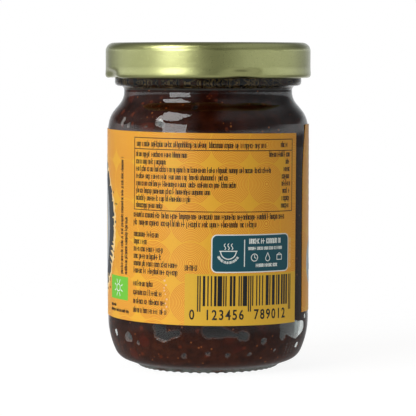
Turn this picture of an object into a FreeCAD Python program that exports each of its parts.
import FreeCAD, Part
import math
import os

# A small round jar of soybean paste, closed with a four-lug twist-off cap.
# Millimetres, +Z up. The origin is the centre of the circle that the jar stands on.
# Outlines are drawn in the (radius, height) plane and spun about the Z axis.

# Glass body. Angles are in degrees.
body_radius = 27.4
wall = 2.0                      # side wall, measured square to the surface
panel_height = 49.66            # straight stretch that carries the label
heel_sweep_radius = 21.4        # long curve from the panel into the heel
heel_sweep_turn = 25.15
heel_corner_radius = 4.76       # tight curve under it
heel_corner_turn = 44.4
heel_flat = 3.15                # short cone between the heel and the foot
shoulder_sweep_radius = 18.7    # long curve from the panel into the shoulder
shoulder_sweep_turn = 9.9
shoulder_corner_radius = 7.7
shoulder_corner_turn = 30.7
neck_radius = 22.9
neck_sweep_radius = 5.22        # hollow curve from the shoulder into the neck
neck_run = 0.47                 # straight part of the neck

# Foot and base.
foot_height = 1.0               # from the table to the heel's lower edge
foot_slope = 0.73               # how far the foot steps in below that edge
ring_width = 2.9                # flat ring that the knurl stands on
push_up = 2.6                   # height of the hollow under the base at its centre
base_wall = 3.2
floor_fillet = 3.0              # inside corner between floor and heel
knurl_count = 48
knurl_radius = 1.1              # each knurl bar is part of a small lying cylinder
knurl_height = 0.35
knurl_margin = 0.45             # from the bar's end to the edge of the ring

# Finish: the part of the neck that takes the cap.
neck_fillet = 1.1               # under the transfer bead
bead_step = 0.5                 # how far the bead stands off the finish wall
bead_height = 2.3
bead_corner = 1.0               # lower corner of the bead
bead_top_corner = 0.3
ledge_fillet = 0.2              # between the bead's top and the finish wall
finish_step = 2.0               # how far the finish wall stands out past the neck
finish_height = 10.6            # from under the bead to the rim
rim_corner = 1.3
thread_reach = 1.1              # how far a thread rib stands off the finish wall
thread_height = 1.9
thread_span = 70.0              # each rib's length round the neck
thread_tail = 16.0              # how far a rib runs on past the lug that it holds
thread_climb = 2.4              # from the held end to the entry end
thread_level_share = 0.45       # share of a rib that lies level over its lug
thread_sections = 10
thread_bite = 0.3               # depth of a rib's root inside the wall

# Cap: drawn tinplate with a rolled lower edge.
sheet = 0.2
bead_show = 2.16                # from under the bead up to the cap's edge
lid_corner = 2.3
recess_depth = 1.0              # the middle of the cap lies lower than its edge
recess_bend = 0.8
recess_gap = 0.2                # from the recess step to the bore of the glass
button_radius = 9.0
button_height = 0.45
button_bend = 1.0
curl_radius = 0.87
curl_proud = 0.08               # how far the curl stands out past the skirt
curl_gap = 0.24                 # from the thread ribs to the curl
curl_end = 65.0                 # where the rolled edge stops, from the outward direction
lug_count = 4
lug_angle = -71.2               # first lug, from the X axis
lug_half_width = 15.0           # half the arc that one lug's dent takes up
lug_gap = 0.39                  # from a lug's inner edge to the finish wall
lug_lift = 0.32                 # how far it is pressed up there
lug_sections = 10
lug_play = 0.05                 # between a lug's top and the thread rib over it
lug_nest = 0.25                 # how far their rounded faces nest past each other's edges
skirt_break = 2.9               # from the cap's lower edge to where the dents begin

# Sealing compound between cap and rim.
gasket_pad = 0.9                # thickness over the rim
gasket_skirt = 0.3              # how far it reaches down beside the rim
gasket_inner_lap = 0.4          # from the bore out to the ring's inner edge
gasket_outer_lap = 1.4          # past the finish wall

# Filling and label.
headspace = 7.2                 # from the rim down to the paste
label_thickness = 0.1
label_low_margin = 0.945        # from the panel's lower edge up to the label, at its middle
label_over = 1.925              # how far it reaches past the panel's upper edge there
label_span = 350.75             # the paper nearly meets itself round the jar
label_middle = 152.8            # direction of the label's middle, from the X axis
label_tilt = -0.74              # it was stuck on slightly turned
label_worn_length = 2.4         # how far the upper corner of one end falls short
label_worn_height = 18.0        # height over which that end curves away
label_worn_power = 2.3
label_worn_steps = 6

# Worked out from the sizes above.
heel_lean = 90.0 - heel_sweep_turn - heel_corner_turn
shoulder_lean = shoulder_sweep_turn + shoulder_corner_turn
bore_radius = neck_radius - wall
finish_radius = neck_radius + finish_step
bead_radius = finish_radius + bead_step
thread_radius = finish_radius + thread_reach
lid_radius = thread_radius + curl_gap + 2 * curl_radius - curl_proud
lug_depth = curl_gap + thread_reach - lug_gap
label_height = panel_height - label_low_margin + label_over


def cos_of(degrees):
    return math.cos(math.radians(degrees))


def sin_of(degrees):
    return math.sin(math.radians(degrees))


heel_drop = (
    heel_sweep_radius * sin_of(heel_sweep_turn)
    + heel_corner_radius * (cos_of(heel_lean) - sin_of(heel_sweep_turn))
    + heel_flat * sin_of(heel_lean)
)
heel_inset = (
    heel_sweep_radius * (1 - cos_of(heel_sweep_turn))
    + heel_corner_radius * (cos_of(heel_sweep_turn) - sin_of(heel_lean))
    + heel_flat * cos_of(heel_lean)
)
shoulder_inset = (
    shoulder_sweep_radius * (1 - cos_of(shoulder_sweep_turn))
    + shoulder_corner_radius * (cos_of(shoulder_sweep_turn) - cos_of(shoulder_lean))
    + neck_sweep_radius * (1 - cos_of(shoulder_lean))
)
shoulder_slope = (body_radius - neck_radius - shoulder_inset) / sin_of(shoulder_lean)
shoulder_rise = (
    shoulder_sweep_radius * sin_of(shoulder_sweep_turn)
    + shoulder_corner_radius * (sin_of(shoulder_lean) - sin_of(shoulder_sweep_turn))
    + shoulder_slope * cos_of(shoulder_lean)
    + neck_sweep_radius * sin_of(shoulder_lean)
)
kink_radius = body_radius - heel_inset
ring_outer = kink_radius - foot_slope
ring_inner = ring_outer - ring_width
panel_low = foot_height + heel_drop
neck_low = panel_low + panel_height + shoulder_rise
bead_low = neck_low + neck_run + neck_fillet
rim_top = bead_low + finish_height
fill_level = rim_top - headspace
lid_top = rim_top + gasket_pad + sheet
lid_bottom = bead_low + bead_show
lid_height = lid_top - lid_bottom
lug_top = lid_bottom + lug_lift + 2 * curl_radius
thread_low = lug_top + lug_play - lug_nest + thread_height / 2


def at(radius, height):
    return FreeCAD.Vector(radius, 0, height)


def run(length):
    """A straight move of an outline."""
    return ("run", length, 0.0)


def bend(radius, degrees):
    """A curved move of an outline, to the left for a positive angle."""
    return ("bend", radius, degrees)


def step(height, radius):
    """A smooth step of an outline that runs outward, up for a positive height."""
    turn = math.degrees(math.acos(1 - abs(height) / (2 * radius)))
    turn = math.copysign(turn, height)
    return [bend(radius, turn), bend(radius, -turn)]


def step_length(height, radius):
    """The distance outward that such a step takes."""
    return 2 * radius * math.sqrt(1 - (1 - abs(height) / (2 * radius)) ** 2)


def trace(start, heading, moves, offset=0.0):
    """The edges of a smooth outline, drawn a fixed distance to the left of its moves.

    A heading of 0 points outward and one of 90 points up. Returns the edges in order,
    the last point and the last heading.
    """
    point = start + at(-sin_of(heading), cos_of(heading)) * offset
    edges = []
    for kind, size, turn in moves:
        left = at(-sin_of(heading), cos_of(heading))
        if kind == "run":
            if abs(size) < 1e-6:
                continue
            end = point + at(cos_of(heading), sin_of(heading)) * size
            edges.append(Part.LineSegment(point, end).toShape())
        else:
            side = math.copysign(1.0, turn)
            centre = point + left * (side * size - offset)
            spoke = point - centre
            axis = FreeCAD.Vector(0, -1, 0)
            middle = centre + FreeCAD.Rotation(axis, turn / 2).multVec(spoke)
            end = centre + FreeCAD.Rotation(axis, turn).multVec(spoke)
            edges.append(Part.Arc(point, middle, end).toShape())
            heading += turn
        point = end
    return edges, point, heading


def line(start, end):
    return Part.LineSegment(start, end).toShape()


def spin(edges, degrees=360.0, start=0.0):
    """A solid of revolution from the closed outline that the edges make."""
    wire = Part.Wire(Part.__sortEdges__(edges))
    face = Part.Face(wire)
    solid = face.revolve(FreeCAD.Vector(), FreeCAD.Vector(0, 0, 1), degrees)
    solid.rotate(FreeCAD.Vector(), FreeCAD.Vector(0, 0, 1), start)
    return solid


def turned(shape, degrees):
    return shape.rotated(FreeCAD.Vector(), FreeCAD.Vector(0, 0, 1), degrees)


def flank_moves():
    """The side of the glass, from the heel's lower edge up to the neck."""
    return [
        run(heel_flat),
        bend(heel_corner_radius, heel_corner_turn),
        bend(heel_sweep_radius, heel_sweep_turn),
        run(panel_height),
        bend(shoulder_sweep_radius, shoulder_sweep_turn),
        bend(shoulder_corner_radius, shoulder_corner_turn),
        run(shoulder_slope),
        bend(neck_sweep_radius, -shoulder_lean),
    ]


def finish_moves():
    """Neck, transfer bead, finish wall and rounded rim, up the outside and into the bore."""
    return [
        run(neck_run),
        bend(neck_fillet, -90),
        run(bead_radius - bead_corner - neck_radius - neck_fillet),
        bend(bead_corner, 90),
        run(bead_height - bead_corner - bead_top_corner),
        bend(bead_top_corner, 90),
        run(bead_radius - bead_top_corner - finish_radius - ledge_fillet),
        bend(ledge_fillet, -90),
        run(finish_height - bead_height - ledge_fillet - rim_corner),
        bend(rim_corner, 90),
        run(finish_radius - bore_radius - 2 * rim_corner),
        bend(rim_corner, 90),
    ]


def underside():
    """The hollow base, its ring and the foot's slope, from the axis out to the heel."""
    rise = push_up - knurl_height
    dome_radius = (ring_inner**2 + rise**2) / (2 * rise)
    dome_turn = math.degrees(math.asin(ring_inner / dome_radius))
    dome, edge, _ = trace(at(0, push_up), 0, [bend(dome_radius, -dome_turn)])
    ring_edge = at(ring_outer, knurl_height)
    kink = at(kink_radius, foot_height)
    return dome + [line(edge, ring_edge), line(ring_edge, kink)], dome_radius


def inner_line(top):
    """The inside of the glass from the middle of the floor up to a height in the bore."""
    _, dome_radius = underside()
    floor_radius = dome_radius + base_wall
    floor_centre = at(0, push_up - dome_radius)
    kink = at(kink_radius, foot_height)
    along = at(cos_of(heel_lean), sin_of(heel_lean))
    left = at(-sin_of(heel_lean), cos_of(heel_lean))
    # The fillet touches the floor's dome and the inner face of the heel's cone.
    base = kink + left * (wall + floor_fillet) - floor_centre
    reach = floor_radius + floor_fillet
    half = base.dot(along)
    shift = -half + math.sqrt(half**2 - base.dot(base) + reach**2)
    centre = base + along * shift
    floor_turn = math.degrees(math.atan2(centre.x, centre.z))
    floor_moves = [
        bend(floor_radius, -floor_turn),
        bend(floor_fillet, floor_turn + heel_lean),
        run(-shift),
    ]
    edges, _, _ = trace(at(0, push_up + base_wall), 0, floor_moves)
    sides, end, _ = trace(kink, heel_lean, flank_moves(), wall)
    return edges + sides + [line(end, at(bore_radius, top))]


def thread_rib(angle):
    """A rib that lies level over one lug of the cap and then climbs to its entry end."""
    sections = []
    for number in range(thread_sections + 1):
        share = number / thread_sections
        climb = max(0.0, share - thread_level_share) / (1 - thread_level_share)
        height = thread_low + thread_climb * climb
        fullness = min(1.0, 4.5 * min(share, 1 - share)) - 0.1
        crest = finish_radius + thread_reach * fullness / 0.9
        root = finish_radius - thread_bite
        low = at(root, height - thread_height / 2)
        high = at(root, height + thread_height / 2)
        arc = Part.Arc(low, at(crest, height), high).toShape()
        section = Part.Wire([arc, line(high, low)])
        sections.append(turned(section, angle - thread_tail + share * thread_span))
    return Part.makeLoft(sections, True)


def lug_angles():
    return [lug_angle + number * 360.0 / lug_count for number in range(lug_count)]


def make_knurl():
    """Rounded bars that stand on the base ring like the spokes of a wheel."""
    inner = ring_inner + knurl_margin + knurl_radius / 2
    outer = ring_outer - knurl_margin - knurl_radius / 2
    bar = Part.makeCylinder(
        knurl_radius, outer - inner, at(inner, knurl_radius), FreeCAD.Vector(1, 0, 0)
    )
    for end in (inner, outer):
        bar = bar.fuse(Part.makeSphere(knurl_radius, at(end, knurl_radius)))
    corner = FreeCAD.Vector(ring_inner, -2 * knurl_radius, 0)
    keep = Part.makeBox(ring_width, 4 * knurl_radius, 2 * knurl_height, corner)
    bar = bar.common(keep).removeSplitter()
    return [turned(bar, number * 360.0 / knurl_count) for number in range(knurl_count)]


def make_glass():
    base, _ = underside()
    kink = at(kink_radius, foot_height)
    outside, _, _ = trace(kink, heel_lean, flank_moves() + finish_moves())
    inside = inner_line(rim_top - rim_corner)
    axis = line(at(0, push_up), at(0, push_up + base_wall))
    glass = spin(base + outside + inside + [axis])
    ribs = [thread_rib(angle) for angle in lug_angles()]
    return glass.multiFuse(ribs + make_knurl())


def make_paste():
    surface = line(at(bore_radius, fill_level), at(0, fill_level))
    axis = line(at(0, fill_level), at(0, push_up + base_wall))
    return spin(inner_line(fill_level) + [surface, axis])


def cap_moves():
    """The top of the cap from its axis outward, over the corner and down the skirt."""
    recess_end = bore_radius - recess_gap
    recess_start = recess_end - step_length(recess_depth, recess_bend)
    button_end = button_radius + step_length(button_height, button_bend)
    return (
        [run(button_radius)]
        + step(-button_height, button_bend)
        + [run(recess_start - button_end)]
        + step(recess_depth, recess_bend)
        + [run(lid_radius - lid_corner - recess_end), bend(lid_corner, -90)]
        + [run(lid_height - lid_corner - skirt_break)]
    )


def curl_section(dent):
    """The skirt's rolled lower edge, from plain (0) to fully pressed in at a lug (1)."""
    centre = at(
        lid_radius + curl_proud - curl_radius - dent * lug_depth,
        lid_bottom + curl_radius + dent * lug_lift,
    )
    bore = curl_radius - sheet
    top = lid_bottom + skirt_break

    def rim(radius, angle):
        return centre + at(cos_of(angle), sin_of(angle)) * radius

    def skirt(radius, low):
        high = at(radius, top)
        reach = at(0, (high.z - low.z) / 2)
        curve = Part.BezierCurve()
        curve.setPoles([low, low + reach, high - reach, high])
        return curve.toShape()

    turn = curl_end - 360
    outer_half = Part.Arc(rim(curl_radius, 0), rim(curl_radius, turn / 4), rim(curl_radius, turn / 2))
    outer_rest = Part.Arc(rim(curl_radius, turn / 2), rim(curl_radius, turn * 3 / 4), rim(curl_radius, turn))
    inner_rest = Part.Arc(rim(bore, turn), rim(bore, turn * 3 / 4), rim(bore, turn / 2))
    inner_half = Part.Arc(rim(bore, turn / 2), rim(bore, turn / 4), rim(bore, 0))
    return [
        skirt(lid_radius, rim(curl_radius, 0)),
        outer_half.toShape(),
        outer_rest.toShape(),
        line(rim(curl_radius, turn), rim(bore, turn)),
        inner_rest.toShape(),
        inner_half.toShape(),
        skirt(lid_radius - sheet, rim(bore, 0)),
        line(at(lid_radius - sheet, top), at(lid_radius, top)),
    ]


def make_lug(angle):
    """A stretch of the rolled edge that is pressed in and up to grip a thread rib."""
    sections = []
    for number in range(lug_sections + 1):
        across = 2 * number / lug_sections - 1
        dent = 0.5 + 0.5 * math.cos(math.pi * across)
        section = Part.Wire(curl_section(dent))
        sections.append(turned(section, angle + across * lug_half_width))
    return Part.makeLoft(sections, True)


def make_lid():
    middle = at(0, lid_top - recess_depth + button_height)
    outside, outer_end, _ = trace(middle, 0, cap_moves())
    inside, inner_end, _ = trace(middle, 0, cap_moves(), -sheet)
    axis = line(middle, middle - at(0, sheet))
    cap = spin(outside + inside + [axis, line(outer_end, inner_end)])
    plain_arc = 360.0 / lug_count - 2 * lug_half_width
    pieces = []
    for angle in lug_angles():
        pieces.append(make_lug(angle))
        pieces.append(spin(curl_section(0), plain_arc, angle + lug_half_width))
    return cap.multiFuse(pieces, 1e-4).removeSplitter()


def make_gasket(glass, lid):
    """A ring of compound that fills the cap's corner and takes the print of the rim."""
    inner = bore_radius + gasket_inner_lap
    outer = finish_radius + gasket_outer_lap
    low = rim_top - gasket_skirt
    height = gasket_pad + gasket_skirt
    ring = Part.makeCylinder(outer, height, at(0, low)).cut(Part.makeCylinder(inner, height, at(0, low)))
    return ring.cut(lid).cut(glass)


def make_label():
    """Paper wrapped on the panel: a turned sheet with one worn end, then its thickness."""
    length = math.radians(label_span) * body_radius
    middle = panel_low + label_low_margin + label_height / 2
    cylinder = Part.Cylinder()
    cylinder.Radius = body_radius

    def wrapped(x, y):
        around = x * cos_of(label_tilt) - y * sin_of(label_tilt)
        height = x * sin_of(label_tilt) + y * cos_of(label_tilt)
        return FreeCAD.Base.Vector2d(around / body_radius, middle + height)

    worn_start = label_height / 2 - label_worn_height
    worn_end = []
    for number in range(label_worn_steps + 1):
        share = number / label_worn_steps
        short = label_worn_length * share ** label_worn_power
        worn_end.append(wrapped(short - length / 2, worn_start + share * label_worn_height))
    curve = Part.Geom2d.BSplineCurve2d()
    curve.interpolate(worn_end)
    corners = [
        worn_end[0],
        wrapped(-length / 2, -label_height / 2),
        wrapped(length / 2, -label_height / 2),
        wrapped(length / 2, label_height / 2),
        worn_end[-1],
    ]
    edges = [curve.toShape(cylinder)]
    for start, end in zip(corners, corners[1:]):
        edges.append(Part.Geom2d.Line2dSegment(start, end).toShape(cylinder))
    paper = Part.Face(cylinder, Part.Wire(edges))
    label = paper.makeOffsetShape(label_thickness, 1e-4, fill=True)
    return turned(label, label_middle)


def main():
    os.makedirs("parts", exist_ok=True)
    glass = make_glass()
    lid = make_lid()
    nodes = {
        "glass_jar": glass,
        "paste": make_paste(),
        "lid": lid,
        "lid_gasket": make_gasket(glass, lid),
        "label": make_label(),
    }
    for name, shape in nodes.items():
        solid = shape.Solids[0]
        print(name, len(shape.Solids), shape.isValid(), round(solid.Volume, 2))
        solid.exportStep("parts/" + name + ".step")


main()
